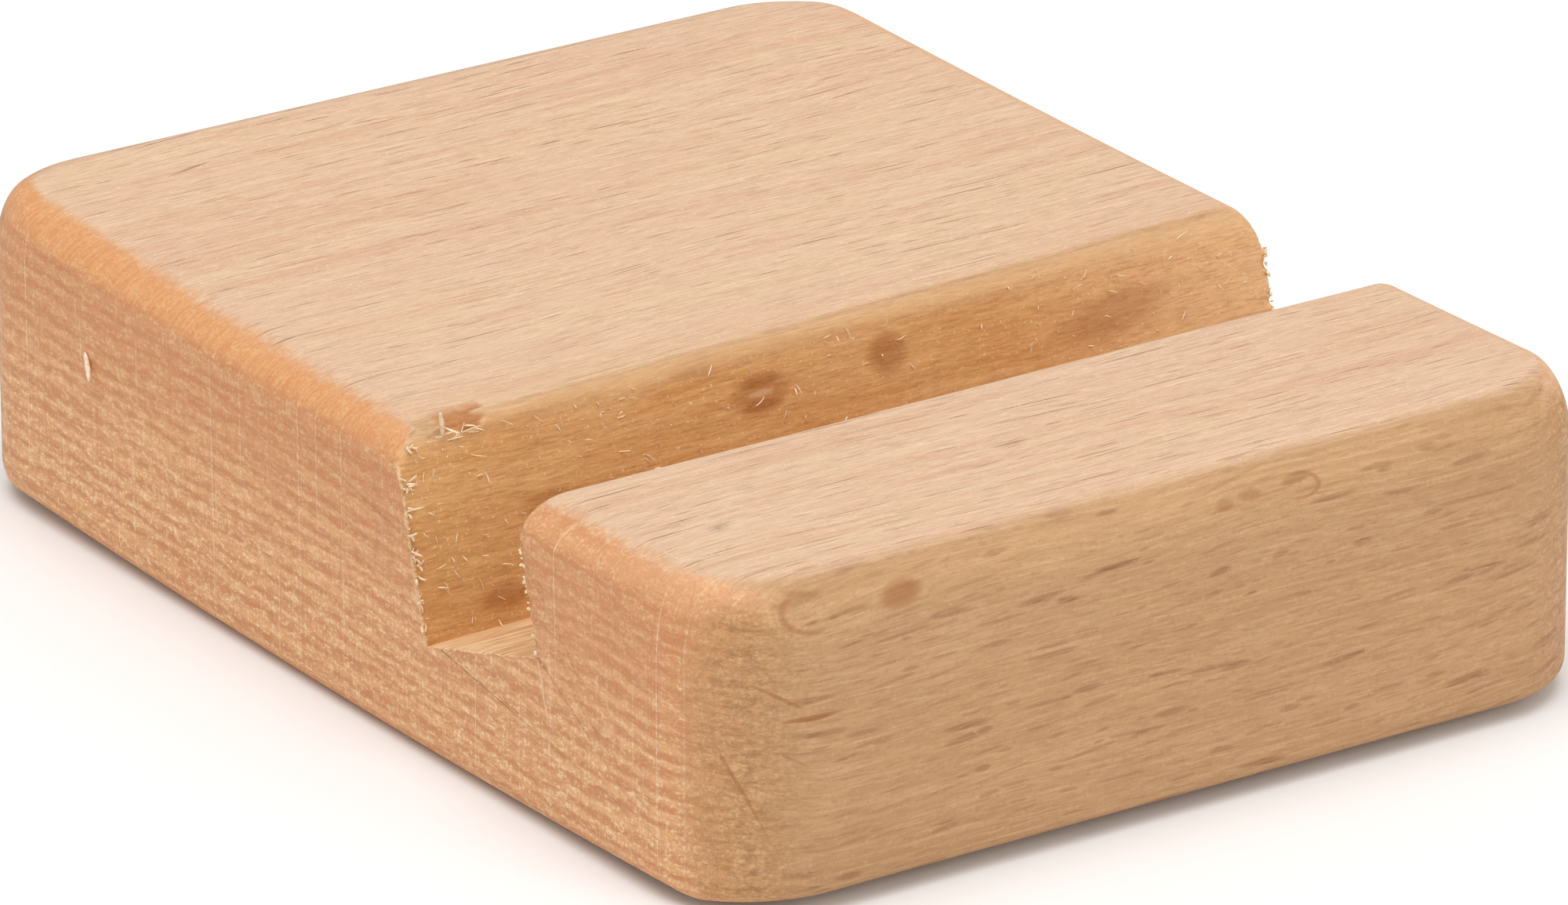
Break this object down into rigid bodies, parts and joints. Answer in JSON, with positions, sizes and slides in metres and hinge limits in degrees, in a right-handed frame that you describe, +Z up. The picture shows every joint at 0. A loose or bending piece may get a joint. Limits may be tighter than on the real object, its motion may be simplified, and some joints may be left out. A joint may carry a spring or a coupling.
{
  "type": "phone stand",
  "caption": "Solid beech block with a slot that leans back across its top, to hold a phone upright on its edge.",
  "frame": {"origin": "centre of the flat base face, at the bottom of the block", "axes": "+Z up; X along the slot and the grain; -Y towards the low lip in front of the phone, +Y towards the back of the block"},
  "size_m": [0.0654, 0.088, 0.02],
  "materials": {
    "beech": "bare beech, fine sanded outside, slot walls left as cut"
  },
  "bodies": {
    "root": {"stand_block": "beech"}
  },
  "joints": []
}
